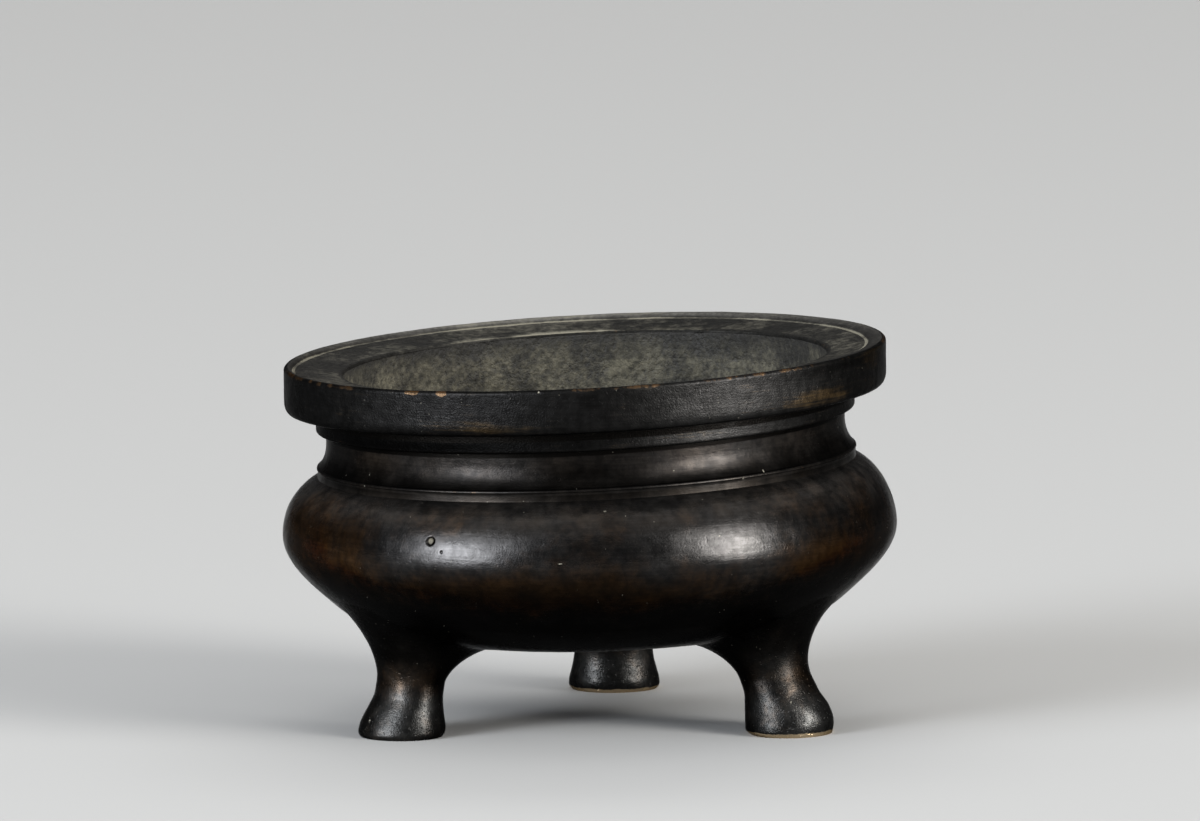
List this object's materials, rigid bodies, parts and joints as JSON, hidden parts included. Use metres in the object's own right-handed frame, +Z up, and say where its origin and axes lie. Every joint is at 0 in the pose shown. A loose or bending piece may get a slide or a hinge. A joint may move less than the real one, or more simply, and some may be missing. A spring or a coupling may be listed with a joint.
{
  "type": "bronze tripod incense burner",
  "caption": "Squat round bronze incense burner with a plate-like flanged mouth, a ringed neck, a bulging bowl and short trumpet-shaped tripod feet.",
  "frame": {"origin": "on the plane that the soles stand on, under the middle of the burner's bounding box", "axes": "+Z up out of the mouth, -Y towards the viewer of the front, with one foot at the back (+Y) and two at the front"},
  "size_m": [0.1226, 0.1226, 0.0764],
  "materials": {
    "patinated_bronze": "dark brown-black patina, waxed to a low sheen, rubbed through to brass at the rim and soles",
    "panel_bronze": "dull dark patina",
    "plug_bronze": "dull, paler than the wall round it",
    "casting_clay": "fired clay, matt and crumbly"
  },
  "bodies": {
    "root": {"bowl_shell": "patinated_bronze", "mouth_collar": "patinated_bronze", "base_panel": "panel_bronze", "foot_front_left": "patinated_bronze", "foot_front_right": "patinated_bronze", "foot_back": "patinated_bronze", "foot_core_front_left": "casting_clay", "foot_core_front_right": "casting_clay", "foot_core_back": "casting_clay", "core_plug_front": "plug_bronze", "core_plug_right": "plug_bronze", "core_plug_back": "plug_bronze"}
  },
  "joints": []
}
